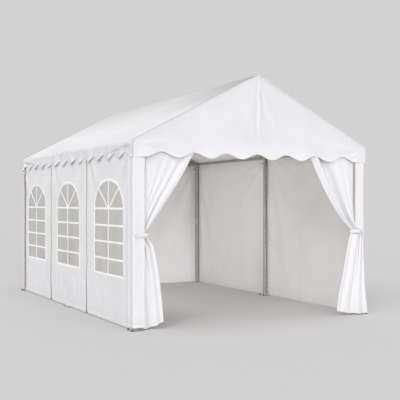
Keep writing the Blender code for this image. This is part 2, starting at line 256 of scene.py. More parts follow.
class Nodes:
    # short way to write a node tree: every call makes a node and returns an output of it
    def __init__(self, name):
        self.material = bpy.data.materials.new(name)
        self.material.use_nodes = True
        self.tree = self.material.node_tree
        self.shader = self.tree.nodes["Principled BSDF"]

    def connect(self, socket, value):
        if isinstance(value, bpy.types.NodeSocket):
            self.tree.links.new(value, socket)
        else:
            socket.default_value = (*value, 1) if socket.type == "RGBA" else value

    def add(self, kind, outlet=0, inputs=(), **options):
        node = self.tree.nodes.new("ShaderNode" + kind)
        for option, value in options.items():
            setattr(node, option, value)
        for where, value in dict(inputs).items():
            self.connect(node.inputs[where], value)
        return node.outputs[outlet]

    def dress(self, values):
        # sets inputs of the shader and hands the material over
        for where, value in values.items():
            self.connect(self.shader.inputs[where], value)
        return self.material

    def maths(self, operation, a, b=0.5):
        return self.add("Math", operation=operation, inputs={0: a, 1: b})

    def times(self, a, b):
        return self.maths("MULTIPLY", a, b)

    def threads(self, value, spacing):
        return self.maths("SINE", self.times(value, math.tau / spacing))

    def split(self, vector):
        return self.add("SeparateXYZ", inputs={0: vector}).node.outputs

    def noise(self, where, scale, detail=4.0, roughness=0.55):
        inputs = {"Vector": where, "Scale": scale, "Detail": detail, "Roughness": roughness}
        return self.add("TexNoise", inputs=inputs)

    def ramp(self, value, low, high, start=0.0, end=1.0):
        # value from low to high becomes start to end
        inputs = {"Value": value, "From Min": low, "From Max": high, "To Min": start, "To Max": end}
        return self.add("MapRange", inputs=inputs)

    def blend(self, share, first, second):
        return self.add("Mix", 2, {0: share, 6: first, 7: second}, data_type="RGBA")

    def bump(self, height, strength, distance, under=None):
        inputs = {"Height": height, "Strength": strength, "Distance": distance}
        if under is not None:
            inputs["Normal"] = under
        return self.add("Bump", inputs=inputs)

    def stretched(self, where, scale):
        return self.add("Mapping", inputs={"Vector": where, "Scale": scale})


sunlit = (0.95, 0.92, 0.87)  # light that has passed through the cloth
# colour, spacing of the threads, their relief, roughness, share of light that passes through
fabricLooks = {
    "roof": ((0.935, 0.932, 0.975), 0.0024, 0.35, 0.5, 0.26),
    "wall": ((0.962, 0.959, 0.995), 0.0028, 0.45, 0.58, 0.26),
    "hem": ((0.965, 0.962, 0.995), 0.002, 0.35, 0.52, 0.16),
    "trim": ((0.97, 0.968, 0.995), 0.0016, 0.2, 0.45, 0.0),
    "web": ((0.81, 0.805, 0.83), 0.0032, 0.9, 0.75, 0.0),
}
# grey and front are colours for painted shade, ground is the colour of dust
dustAndShade = {"grey": (0.45, 0.445, 0.44), "front": (0.46, 0.45, 0.43), "ground": (0.58, 0.56, 0.53)}
stitch = {"row": 0.0045, "half": 0.0007, "pitch": 0.0052, "length": 0.0038,
          "colour": (0.7, 0.7, 0.69)}


def fabricMaterial(name, kind, stitched=False, paintedShade=(), frontShade=()):
    # coated cloth: a plain weave under a smooth skin, faint dust near the ground, optional painted
    # shade, light passing through
    colour, spacing, depth, rough, through = fabricLooks[kind]
    nodes = Nodes(name)
    cloth = nodes.add("UVMap", uv_map="UVMap")
    place = nodes.add("TexCoord", "Object")
    u, v, spare = nodes.split(cloth)
    away = nodes.maths("ABSOLUTE", v)
    weave = nodes.times(nodes.threads(u, spacing), nodes.threads(v, spacing))
    creases = nodes.noise(nodes.stretched(place, (1.0, 1.0, 0.45)), 11.0, 6.0, 0.62)
    dull = tuple(c * d for c, d in zip(colour, (0.955, 0.955, 0.95)))
    shade = tuple(c * 0.86 for c in colour)
    tint = nodes.blend(nodes.ramp(nodes.noise(place, 2.3, 5.0, 0.6), 0.35, 0.7), colour, dull)
    tint = nodes.blend(nodes.ramp(weave, -1.0, 1.0, 0.0, 0.16), tint, shade)
    if paintedShade:
        # painted shade: the cloth is darkened towards grey from one distance along v to another
        tint = nodes.blend(nodes.ramp(away, *paintedShade), tint, dustAndShade["grey"])
    if frontShade:
        # painted shade: the front end is darkened close to the ridge
        upper = nodes.ramp(away, 0.1, 0.9, 1.0, 0.0)
        tint = nodes.blend(nodes.times(nodes.ramp(u, *frontShade), upper), tint, dustAndShade["front"])
    # a little dust close to the ground
    low = nodes.ramp(nodes.split(place)[2], 0.0, 0.16, 0.3, 0.0)
    tint = nodes.blend(nodes.times(low, nodes.noise(place, 14.0, 5.0, 0.65)), tint,
                       dustAndShade["ground"])
    relief = nodes.bump(weave, depth, 0.0004)
    if stitched:
        offRow = nodes.maths("ABSOLUTE", nodes.maths("SUBTRACT", v, stitch["row"]))
        beat = nodes.maths("MODULO", u, stitch["pitch"])
        dash = nodes.times(nodes.maths("LESS_THAN", offRow, stitch["half"]),
                           nodes.maths("LESS_THAN", beat, stitch["length"]))
        tint = nodes.blend(nodes.times(dash, 0.7), tint, stitch["colour"])
        relief = nodes.bump(nodes.ramp(offRow, 0.0, 0.0022), 0.6, 0.0006, relief)
        relief = nodes.bump(dash, 0.8, 0.0005, relief)
    relief = nodes.bump(creases, 0.3, 0.01, relief)
    relief = nodes.bump(nodes.noise(cloth, 160.0, 3.0, 0.7), 0.12, 0.0006, relief)
    if through:
        light = nodes.add("BsdfTranslucent", inputs={"Color": sunlit, "Normal": relief})
        both = nodes.add("MixShader", inputs={0: through, 1: nodes.shader.outputs[0], 2: light})
        nodes.connect(nodes.tree.nodes["Material Output"].inputs["Surface"], both)
    rough = nodes.ramp(nodes.noise(place, 7.0, 4.0, 0.6), 0.3, 0.7, rough - 0.06, rough + 0.08)
    return nodes.dress({"Base Color": tint, "Normal": relief, "Roughness": rough,
                        "Specular IOR Level": 0.32, "Sheen Weight": 0.08, "Sheen Roughness": 0.5})


def filmMaterial(name):
    # clear sheet gone a little grey, with slow ripples and a haze
    nodes = Nodes(name)
    place = nodes.add("TexCoord", "Object")
    slow = nodes.noise(nodes.stretched(place, (1.0, 1.0, 0.35)), 5.0, 3.0, 0.5)
    fine = nodes.noise(place, 60.0, 4.0, 0.6)
    tint = nodes.blend(nodes.ramp(slow, 0.3, 0.7), (0.65, 0.638, 0.608), (0.57, 0.56, 0.534))
    relief = nodes.bump(fine, 0.06, 0.001, nodes.bump(slow, 0.25, 0.012))
    return nodes.dress({"Base Color": tint, "Normal": relief, "Alpha": 0.72, "IOR": 1.52,
                        "Roughness": nodes.ramp(fine, 0.3, 0.7, 0.16, 0.28)})


def steelMaterial(name, colour, rough, spangle, metallic=0.75):
    # hot-dip zinc: crystal patches, streaks and dull spots
    nodes = Nodes(name)
    place = nodes.add("TexCoord", "Object")
    cells = nodes.add("TexVoronoi", "Color", {"Vector": place, "Scale": spangle})
    patch = nodes.add("RGBToBW", inputs={0: cells})
    cloud = nodes.noise(place, 9.0, 5.0, 0.6)
    streak = nodes.noise(nodes.stretched(place, (60.0, 60.0, 4.0)), 1.0, 4.0, 0.6)
    dark = tuple(c * 0.72 for c in colour)
    light = tuple(min(1.0, c * 1.22) for c in colour)
    tint = nodes.blend(nodes.ramp(patch, 0.2, 0.8), dark, light)
    tint = nodes.blend(nodes.ramp(cloud, 0.35, 0.75, 0.0, 0.6), tint, colour)
    # painted light and shade: the foot plates are painted bright on top and dark on their sides
    plate = nodes.ramp(nodes.split(place)[2], 0.007, 0.011, 0.9, 0.0)
    facing = nodes.split(nodes.add("NewGeometry", "Normal"))[2]
    plateLitAndShaded = nodes.blend(nodes.ramp(facing, 0.3, 0.8), (0.1, 0.1, 0.09), (0.8, 0.8, 0.79))
    tint = nodes.blend(plate, tint, plateLitAndShaded)
    spread = nodes.maths("ADD", nodes.times(patch, 0.16), nodes.times(cloud, 0.18))
    relief = nodes.bump(patch, 0.1, 0.0003, nodes.bump(streak, 0.12, 0.0006))
    return nodes.dress({"Base Color": tint, "Normal": relief, "Metallic": metallic,
                        "Roughness": nodes.maths("ADD", spread, rough - 0.15)})


def zipMaterial(name):
    # woven tape, with a coil of teeth along its middle
    nodes = Nodes(name)
    cloth = nodes.add("UVMap", uv_map="UVMap")
    u, v, spare = nodes.split(cloth)
    beat = nodes.threads(u, 0.0028)
    weave = nodes.threads(v, 0.0012)
    middle = nodes.ramp(v, 0.0075, 0.0085)
    spots = nodes.noise(cloth, 220.0, 3.0, 0.6)
    tape = nodes.blend(nodes.ramp(spots, 0.3, 0.7), (0.17, 0.165, 0.145), (0.12, 0.117, 0.105))
    teeth = nodes.blend(nodes.ramp(beat, -0.4, 0.4), (0.06, 0.06, 0.055), (0.24, 0.24, 0.23))
    relief = nodes.bump(nodes.times(beat, middle), 0.8, 0.0008, nodes.bump(weave, 0.3, 0.0003))
    return nodes.dress({"Base Color": nodes.blend(middle, tape, teeth), "Normal": relief,
                        "Roughness": 0.62})


# painted shade: the roof darkens towards the ridge, and most at the front end next to the ridge
roofFabric = fabricMaterial("roofFabric", "roof", paintedShade=(0.05, 1.1, 0.42, 0.0),
                            frontShade=(-0.7, -2.2533, 0.0, 0.95))
# painted shade: the gable darkens a little above the valance
gableFabric = fabricMaterial("gableFabric", "roof", paintedShade=(1.98, 2.06, 0.0, 0.09))
wallFabric = fabricMaterial("wallFabric", "wall")
hemFabric = fabricMaterial("hemFabric", "hem", stitched=True)
# painted shade: the welt's half standing above the roof is darkened, as a shade line along the rake
weltShadeFabric = fabricMaterial("weltShadeFabric", "hem", paintedShade=(0.0285, 0.0305, 0.0, 0.95))
windowTrim = fabricMaterial("windowTrim", "trim")
strapWebbing = fabricMaterial("strapWebbing", "web", stitched=True)
windowFilm = filmMaterial("clearWindowFilm")
galvanised = steelMaterial("galvanisedTube", (0.4, 0.4, 0.385), 0.52, 55.0)
yellowZinc = steelMaterial("yellowZinc", (0.24, 0.115, 0.035), 0.5, 240.0, 0.35)
# rust brown, darkened much further as painted shade
rustAndShadeBolt = steelMaterial("rustAndShadeBolt", (0.07, 0.034, 0.013), 0.65, 240.0, 0.2)
zipTape = zipMaterial("zipTape")
print("tent: materials made")


# the steel frame keeps its CAD shapes

def dressFrame():
    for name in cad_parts:
        if name.split("_")[0] in ("post", "eave", "apex", "rafter", "tie", "ridge"):
            bpy.data.objects[name].material_slots[0].material = galvanised


# roof cover: one sheet from the left valance over the ridge to the right valance

roofCover = {
    "eaveRound": 0.036,  # radius where the cloth turns down over the eave
    "ridgeRound": 0.02,
    "sag": 0.018,  # between the rafters
    "folds": 0.011,
    "creases": 0.003,
    "wrinkles": 0.0038,
    "flare": 0.022,  # how far the scallops' tips stand off the wall
    "scallops": 13,
    "swag": 0.016,
    "reach": 2.22,  # scallops run from -reach to reach
    "columns": 300,
    "rows": {"valance": 13, "eave": 6, "slope": 46, "ridge": 3},
}
ridgeR = roofCover["ridgeRound"]
eaveR = roofCover["eaveRound"]
ridgeCut = ridgeR * math.tan(slope)
eaveTurn = math.pi / 2 - slope
eaveCut = eaveR * math.tan(eaveTurn / 2)
# ends of the section's parts, measured down from the ridge
ridgeEnd = ridgeR * slope
slopeEnd = ridgeEnd + math.hypot(tent["skirtX"], tent["ridge"] - tent["eave"]) - ridgeCut - eaveCut
eaveEnd = slopeEnd + eaveR * eaveTurn
valanceTop = tent["eave"] - eaveCut
valanceDrop = tent["eave"] - tent["tip"]


def ridgeHeight(turn):
    return tent["ridge"] - ridgeR / math.cos(slope) + ridgeR * math.cos(turn)


def coverSection(s):
    # point and outward direction of the roof's section, s metres down from the ridge
    side = -1 if s < 0 else 1
    down = abs(s)
    if down < ridgeEnd:
        turn = down / ridgeR
        x = ridgeR * math.sin(turn)
        z = ridgeHeight(turn)
    elif down < slopeEnd:
        turn = slope
        along = ridgeCut + down - ridgeEnd
        x = along * math.cos(slope)
        z = tent["ridge"] - along * math.sin(slope)
    elif down < eaveEnd:
        turn = slope + (down - slopeEnd) / eaveR
        x = tent["skirtX"] - eaveR + eaveR * math.sin(turn)
        z = valanceTop + eaveR * math.cos(turn)
    else:
        turn = math.pi / 2
        x = tent["skirtX"]
        z = valanceTop - (down - eaveEnd)
    return side * x, z, side * math.sin(turn), math.cos(turn)


def roofTop(x):
    # height of the roof's section over x
    across = min(abs(x), tent["skirtX"])
    if across < ridgeR * math.sin(slope):
        return ridgeHeight(math.asin(across / ridgeR))
    if across < tent["skirtX"] - eaveR + eaveR * math.sin(slope):
        return tent["ridge"] - across * math.tan(slope)
    turn = math.asin(min(1.0, (across - tent["skirtX"] + eaveR) / eaveR))
    return valanceTop + eaveR * math.cos(turn)


def scallopEdge(along, reach, count):
    # height of the wavy edge
    if abs(along) >= reach:
        return tent["tip"]
    return tent["tip"] + tent["rise"] * (1 - wave((along + reach) / (2 * reach), count)) / 2


def coverLift(y, s):
    # how far the cloth stands off its plain section
    side = -1 if s < 0 else 1
    down = abs(s)
    seed = 3.1 * side
    lift = 0.0
    if down < slopeEnd:
        bay = min(abs(y) / tent["postY"], 1)
        lift -= roofCover["sag"] * math.sin(math.pi * bay) ** 2 * math.sin(math.pi * down / slopeEnd)
    for where in frames:
        held = radialFolds(y, down, (where, 1.7), 9, 0.34, seed + where)
        lift += roofCover["folds"] * (1.1 if where else 0.6) * held
        held = radialFolds(y, down, (where, 0.0), 9, 0.6, seed - where)
        lift += roofCover["folds"] * (0.45 if where else 0.22) * held
    free = smooth(0.0, 0.12, down)
    lift += free * roofCover["creases"] * crumple(y + 0.35 * down, down * 0.35, 0.22, seed)
    lift += free * 0.0035 * ripple(y + 0.5 * down, down * 0.3, 0.16, seed + 2)
    lift += free * 0.0045 * ripple(y * 0.2, down + 0.32 * y, 0.11, seed + 5)
    # fine wrinkles that run straight down the slope, and fade towards the two ends
    free *= smooth(tent["skirtY"] - 0.02, tent["skirtY"] - 0.45, abs(y))
    lift += free * roofCover["wrinkles"] * crumple(y + 0.06 * down, down * 0.07, 0.16, seed + 8)
    # it rests on the rafters
    for where in frames:
        resting = math.exp(-((y - where) / 0.055) ** 4)
        lift = mix(lift, max(lift, -0.0008), resting)
    return lift


def cornerSwag(inward, below):
    # slack cloth that hangs from a corner of the valance and ends in a slanting crease
    level = 0.008 + 0.085 * inward
    held = smooth(0.0, 0.1, inward) * smooth(0.95, 0.45, inward)
    return held * smooth(-0.03, level, below) * smooth(level + 0.022, level, below)


def coverPoint(y, s, lift=0.0):
    x, z, nx, nz = coverSection(s)
    off = coverLift(y, s) + lift
    side = -1 if s < 0 else 1
    down = abs(s)
    skirt = tent["skirtY"]
    if down > eaveEnd - 0.03:
        # the valance hangs free and flares at the scallops' tips
        drop = (down - eaveEnd + 0.03) / valanceDrop
        share = (y + roofCover["reach"]) / (2 * roofCover["reach"])
        tip = (1 + wave(share, roofCover["scallops"])) / 2
        lean = -0.42 * math.sin(math.tau * share * roofCover["scallops"])
        flare = roofCover["flare"] * drop ** 2.0 * (0.12 + 0.88 * max(0, tip + lean) ** 1.4)
        flare += 0.004 * drop * (ripple(y, 0, 0.33, 9.0 + side) + 0.5)
        flare *= 0.92 + 0.45 * ripple(y, 0, 0.45, 15.0 + side)
        for corner in (-1, 1):
            fold = radialFolds(y, drop * valanceDrop, (corner * 2.3, -0.03), 7, 0.2, 2.0 * corner)
            flare += 0.013 * bell(y - corner * skirt, 0.3) * fold
            flare += roofCover["swag"] * cornerSwag(skirt - corner * y, down - eaveEnd)
        off = mix(0.001, off + flare, smooth(skirt, skirt - 0.06, abs(y)))
    off *= smooth(skirt + 0.002, skirt - 0.05, abs(y)) * 0.85 + 0.15
    return Vector((x + nx * off, y, z + nz * off))


def valanceFoot(y):
    # the wavy edge, measured down from the ridge
    return eaveEnd + valanceTop - scallopEdge(y, roofCover["reach"], roofCover["scallops"])


def makeRoofCover():
    marks = [(zone, 1 - k / rows, -1) for zone, rows in roofCover["rows"].items()
             for k in range(rows)]
    marks += [("ridge", 0.0, 1)] + [(zone, share, 1) for zone, share, side in marks[::-1]]
    columns = roofCover["columns"]

    def place(i, j):
        zone, share, side = marks[j]
        y = mix(-tent["skirtY"], tent["skirtY"], i / columns)
        zones = {"valance": (eaveEnd, valanceFoot(y)), "eave": (slopeEnd, eaveEnd),
                 "slope": (ridgeEnd, slopeEnd), "ridge": (0.0, ridgeEnd)}
        down = mix(*zones[zone], share)
        return coverPoint(y, side * max(down, 1e-6)), (y, side * down)

    nodes = ("roof_left", "roof_right", "valance_left", "valance_right")
    cover = makeSheet("roofCover", columns, len(marks) - 1, place, roofFabric, nodes,
                      (0, 0, 1))
    # binding sewn round the scalloped edges
    run = steps(-tent["skirtY"] + 0.003, tent["skirtY"] - 0.003, 0.016)
    paths = [[(y, side * (valanceFoot(y) - 0.004)) for y in run] for side in sides.values()]
    bands = [(path, 0.011, 0.0016, 0.0022) for path in paths]
    binding = sewPiece("valanceBinding", coverPoint, bands)


# gables: the two end triangles with their scalloped valance

gable = {
    "scallops": 7,
    "belly": 0.012,
    "folds": 0.01,
    "creases": 0.003,
    "columns": 280,
    "rows": 60,
    "seam": 2.006,  # height of the sewn line above the valance
    "pleat": 0.0055,  # depth of the middle seam
    "pipe": 0.0044,  # radius of the welt along the roof's edge
}


def seamBend(z, seed):
    # the middle seam runs a little crooked
    return 0.008 * math.sin(7 * z + seed) + 0.003 * math.sin(19 * z)


def gableLift(x, z, seed):
    under = roofTop(x) - z
    inside = smooth(0.0, 0.3, under) if z > tent["eave"] else 1.0
    nearRim = mix(0.3, 1.0, inside)
    lift = gable["belly"] * smooth(0.0, 0.5, under) * smooth(1.82, 2.05, z) * 0.6
    hold = radialFolds(x, z, (0.0, 2.76), 17, 0.36, seed)
    lift += gable["folds"] * hold * inside * mix(0.22, 1.0, smooth(-0.03, 0.03, x))
    for corner in (-1, 1):
        hold = radialFolds(x, z, (corner * 1.47, 1.96), 12, 0.32, seed + corner)
        lift += gable["folds"] * 0.4 * hold * nearRim
    lift += gable["creases"] * crumple(x * 0.8, z, 0.2, seed + 4) * nearRim
    # the middle seam pulls in
    off = x - seamBend(z, seed)
    seam = bell(off, 0.013) - 0.8 * bell(off - 0.028, 0.019)
    lift -= gable["pleat"] * seam * smooth(1.98, 2.2, z) * smooth(0.02, 0.12, under)
    # the valance hangs free below the sewn line
    if z < tent["eave"]:
        drop = (tent["eave"] - z) / valanceDrop
        tip = (1 + wave((x + tent["door"]) / (2 * tent["door"]), gable["scallops"])) / 2
        lift += 0.013 * drop ** 1.5 * tip * smooth(1.5, 1.4, abs(x))
        lift += 0.004 * drop * ripple(x, 0, 0.27, seed + 5)
    return lift * smooth(tent["skirtX"], tent["skirtX"] - 0.1, abs(x))


def frontEdge(x):
    return scallopEdge(x, tent["door"], gable["scallops"])


def makeGable(endName, end):
    seed = 1.7 if end < 0 else 5.3
    name = f"gable{endName.title()}"

    def point(x, z, lift=0.0):
        return Vector((x, end * (tent["skirtY"] - 0.0015 + gableLift(x, z, seed) + lift), z))

    def place(i, j):
        # columns stand closer in the middle and at the two corners
        share = i / gable["columns"] * 2 - 1
        x = tent["skirtX"] * (0.66 * share + 0.52 * share ** 3 - 0.18 * share ** 5)
        z = mix(frontEdge(x), roofTop(x) - 0.0012, j / gable["rows"])
        x += seamBend(z, seed) * bell(x, 0.12)
        return point(x, z), (x, z)

    cloth = makeSheet(f"{name}Cloth", gable["columns"], gable["rows"], place, gableFabric,
                      f"gable_{endName}", (0, end, 0))
    edge = [(x, frontEdge(x) + 0.0035) for x in steps(-1.4985, 1.4985, 0.014)]
    seam = levelPath(-1.465, 1.465, gable["seam"], 0.02)
    bands = [(edge, 0.011, 0.0016, 0.0022), (seam, 0.012, 0.0006)]
    trim = sewPiece(f"{name}Seams", point, bands)

    # welts where the gable meets the roof; on the left welts the half standing above the roof is
    # painted grey as a line of shade
    for sideName, side in sides.items():
        bm = bmesh.new()
        stations = []
        for s in steps(0.0, eaveEnd + 0.158, 0.018):
            x, z, nx, nz = coverSection(side * s)
            middle = Vector((x + side * 0.0003 + nx * 0.003, end * (tent["skirtY"] + 0.0016),
                             z + nz * 0.003))
            stations.append((middle, Vector((nx, 0, nz)), Vector((0, end, 0))))
        addStrip(bm, stations, roundProfile(gable["pipe"]))
        makePiece(f"{name}Welt{sideName.title()}", bm,
                               weltShadeFabric if side < 0 else hemFabric)


# left wall: three zipped panels, each with an arched window

leftWall = {
    "plane": 1.4952,
    "belly": 0.006,
    "creases": 0.0042,
    "gap": 0.012,  # between two panels, where the zip shows
    "cornerZip": 2.116,  # under the edge of the back corner cover
    "curl": 0.01,  # a panel's front edge stands off this far
    "seams": (-2.2455, -0.75, 0.75, 2.2455),
    "top": 1.99,
    "hem": 0.045,
    "sideHem": 0.016,
    "corner": 0.07,  # the panels' lower corners are cut round
    "packedFolds": ((1.7, 0.0016), (0.315, 0.0012)),  # height and depth
    "rings": 24,
    "filmRings": 14,
}
window = {
    "centres": {"front": -1.5, "middle": 0.0, "back": 1.5},
    "half": 0.48,
    "sill": 0.525,
    "spring": 1.275,
    "rise": 0.33,
    "rails": (0.71, 0.9, 1.085),
    "bar": 0.023,
    "border": 0.031,
    "spokeAcross": 0.32,  # where the slanting bars meet the arch
    "spokeUp": 0.235,
}


def leftWallLift(y, z):
    lift = 0.0
    for centre in window["centres"].values():
        across = (y - centre) / 0.75
        if abs(across) <= 1:
            quiet = 1 - across * across
            lift += leftWall["belly"] * quiet * math.sin(math.pi * min(max(z / 2, 0), 1))
            for corner in (-1, 1):
                hold = radialFolds(y, z, (centre + corner * 0.48, 0.5), 9, 0.26, 2.0 + centre)
                lift += 0.0065 * hold * smooth(0.56, 0.46, z) * quiet
                hold = radialFolds(y, z, (centre + corner * 0.72, 1.93), 9, 0.34, 6.0 + centre)
                lift += 0.0085 * hold * smooth(1.02, 0.9, abs(across))
    lift += leftWall["creases"] * crumple(y + 0.4 * z, z * 0.6, 0.22, 11.0)
    lift += 0.0045 * ripple(y + 0.55 * z, z * 0.25, 0.16, 17.0)
    # flattened fold lines from when it was packed
    for level, depth in leftWall["packedFolds"]:
        lift += depth * bell(z - level - 0.004 * math.sin(5 * y), 0.01)
    lift += 0.003 * ripple(y, 0, 0.35, 4.0) * smooth(0.45, 0.0, z)
    for seam in leftWall["seams"][1:3]:
        lift += leftWall["curl"] * smooth(0.03, 0.004, y - seam) * (y > seam)
    return lift * smooth(2.0, 1.85, z) * smooth(2.25, 2.15, abs(y)) + 0.0002


def leftWallPoint(y, z, lift=0.0):
    return Vector((-(leftWall["plane"] + leftWallLift(y, z) + lift), y, z))


def windowOutline(centre, inset, bottom, flank, top):
    # points round the arched opening: along the sill, up one side, over the arch and down
    half = window["half"] - inset
    sill = window["sill"] + inset
    rise = window["rise"] - inset
    early = math.radians(42)
    straight = window["spring"] - sill
    bend = rise * 0.9

    def shoulder(turn):
        return half * math.cos(turn), window["spring"] + rise * math.sin(turn)

    def up(share):
        along = (straight + bend) * share
        return (half, sill + along) if along < straight else shoulder(early * (along - straight) / bend)

    points = [(half * (2 * k / bottom - 1), sill) for k in range(bottom)]
    points += [up(k / flank) for k in range(flank)]
    points += [shoulder(mix(early, math.pi - early, k / top)) for k in range(top)]
    points += [(-a, z) for a, z in (up(1 - k / flank) for k in range(flank))]
    return [(centre + a, z) for a, z in points]


def panelOutline(low, high, bottom, flank, top):
    # points round a panel in the same order as the window's
    base = tent["ground"] + 0.001
    roof = leftWall["top"]
    cut = leftWall["corner"]
    shoulder = base + cut * 0.6
    points = []
    for k in range(bottom):
        y = mix(low, high, k / bottom)
        near = min(y - low, high - y)
        lift = cut - math.sqrt(max(0, cut * cut - (cut - near) ** 2)) if near < cut else 0
        points.append((y, base + lift * 0.6))
    points += [(high, mix(shoulder, roof, k / flank)) for k in range(flank)]
    points += [(mix(high, low, k / top), roof) for k in range(top)]
    points += [(low, mix(roof, shoulder, k / flank)) for k in range(flank)]
    return points


def makePanel(name, centre, low, high):
    counts = (44, 64, 36)
    hole = windowOutline(centre, 0.0, *counts)
    rim = panelOutline(low, high, *counts)
    count = len(hole)

    def place(i, j):
        share = (j / leftWall["rings"]) ** 1.15
        y = mix(hole[i % count][0], rim[i % count][0], share)
        z = mix(hole[i % count][1], rim[i % count][1], share)
        return leftWallPoint(y, z), (y, z)

    whole = f"wallLeft{name.title()}"
    panel = makeSheet(f"{whole}Cloth", count, leftWall["rings"], place, wallFabric,
                      f"wall_left_{name}", (-1, 0, 0), ring=True)
    side = leftWall["sideHem"]
    hem = leftWall["hem"]
    foot = tent["ground"] + 0.004
    bands = [(uprightPath(edge, foot + 0.036, leftWall["top"] - 0.002, 0.03), side, 0.0012)
             for edge in (low + side / 2 + 0.001, high - side / 2 - 0.001)]
    bands.append((levelPath(low + 0.045, high - 0.045, foot + hem / 2, 0.025), hem, 0.0014))
    hems = sewPiece(f"{whole}Hems", leftWallPoint, bands)

    # border and glazing bars, welded onto the film
    bars = bmesh.new()
    outline = windowOutline(centre, window["border"] / 2 - 0.011, 24, 40, 40)
    sewBand(bars, outline, leftWallPoint, window["border"], 0.0018, 0.004, ring=True)

    def barPoint(y, z, lift=0.0):
        return leftWallPoint(y, z, lift - 0.0014)

    inner = window["half"] - 0.012
    crown = window["spring"] + window["rise"] - 0.014
    paths = [levelPath(centre - inner, centre + inner, level, 0.03)
             for level in (*window["rails"], window["spring"])]
    paths.append(uprightPath(centre, window["sill"] + 0.01, crown, 0.03))
    for slant in (-1, 1):
        paths.append([(centre + slant * window["spokeAcross"] * k / 12,
                       window["spring"] + window["spokeUp"] * k / 12) for k in range(13)])
    for path in paths:
        sewBand(bars, path, barPoint, window["bar"], 0.0016, 0.002)
    glazing = makePiece(f"{whole}Bars", bars, windowTrim)

    # film behind the bars
    lap = windowOutline(centre, -0.018, 40, 60, 48)

    def placeFilm(i, j):
        share = j / leftWall["filmRings"]
        y = mix(centre, lap[i % len(lap)][0], share)
        z = mix(1.02, lap[i % len(lap)][1], share)
        wavy = 0.0012 * ripple(y * 2.2, z * 0.7, 0.3, 21.0)
        return leftWallPoint(y, z, -0.0022 + wavy * (1 - share)), (y, z)

    film = makeSheet(f"windowFilm{name.title()}Sheet", len(lap), leftWall["filmRings"], placeFilm,
                     windowFilm, f"window_film_{name}", (-1, 0, 0), 0.0006, True)


def makeZips():
    def behind(y, z, lift=0.0):
        return leftWallPoint(y, z, lift + (-0.0032 if abs(y) < 1 else 0.0012))

    bands = [(uprightPath(y, 0.05, leftWall["top"] - 0.004, 0.04), 0.024, 0.001, 0.0006)
             for y in (*leftWall["seams"][1:3], leftWall["cornerZip"])]
    sewPiece("wallZips", behind, bands, material=zipTape)


def makeLeftWall():
    seams = leftWall["seams"]
    half = leftWall["gap"] / 2
    for k, (name, centre) in enumerate(window["centres"].items()):
        low = seams[k] + (half if k else 0)
        high = seams[k + 1] - (half if k < 2 else 0)
        makePanel(name, centre, low, high)
    makeZips()


# plain walls: hung at the top, with slanted folds from the posts over slow upright ones

plainWall = {
    "top": 1.992,
    "foot": 0.003,
    "folds": 0.03,
    "slants": 0.014,
    "creases": 0.006,
    "spacing": 0.02,
    "hem": 0.04,
    # plane, half length, where the folds end, seed, posts and bar that hold it
    "right": (1.4951, 2.2455, 2.25, 31.0, (-2.25, 0.0, 2.25), "eave_purlin_front_right"),
    "back": (2.2451, 1.4915, 1.49, 47.0, (-1.5, 1.5), "tie_bar_back"),
}


def drape(a, z, seed, posts):
    lowered = smooth(1.96, 1.0, z)
    wander = 0.16 * ripple(a, z * 0.7, 0.8, seed)
    slow = ripple(a + wander, z * 0.14, 0.46, seed + 3)
    quick = ripple(a + wander, z * 0.22, 0.18, seed + 6)
    lift = plainWall["folds"] * (0.62 * slow + 0.2 * quick) * mix(0.45, 1.0, lowered)
    for post in posts:
        lift += plainWall["slants"] * radialFolds(a, z, (post, 2.02), 17, 1.0, seed + post)
    return lift + plainWall["creases"] * crumple(a * 0.8 + z * 0.22, z * 0.55 - a * 0.12, 0.19,
                                                 seed + 12)


def makePlainWall(name, turn):
    plane, reach, edge, seed, posts, bar = plainWall[name]
    low = plainWall["foot"]
    top = plainWall["top"]
    hem = plainWall["hem"]
    columns = round(2 * reach / plainWall["spacing"])
    rows = round((top - low) / plainWall["spacing"])

    def point(a, z, lift=0.0):
        held = smooth(edge, edge - 0.12, abs(a)) * smooth(1.99, 1.8, z)
        off = (drape(a, z, seed, posts) + 0.012) * held
        off = plane + lift + (off if off > 0 else -0.001 * math.tanh(-off / 0.001))
        return Vector((off, a, z) if name == "right" else (a, off, z))

    def place(i, j):
        a = mix(-reach, reach, i / columns)
        z = mix(low, top, j / rows)
        return point(a, z), (a, z)

    whole = f"wall{name.title()}"
    wall = makeSheet(f"{whole}Cloth", columns, rows, place, wallFabric,
                     f"wall_{name}", turn)
    bands = [(levelPath(-reach + 0.004, reach - 0.004, level, 0.03), width, 0.0014, 0.003)
             for level, width in ((low + hem / 2 + 0.002, hem), (top - 0.018, 0.03))]
    hems = sewPiece(f"{whole}Hems", point, bands)


# corner covers: an angle of cloth over each corner post

cornerCover = {
    "width": 0.13,
    "round": 0.012,
    "top": 1.95,
    "rows": 80,
    "creases": 0.0022,
    "curl": {"front": 0.008, "back": 0.026},  # how far the edge beside the wall stands off
    "foot": {"front": 0.028, "back": 0.016},
    "edgeHem": 0.015,
    "footHem": 0.032,
}


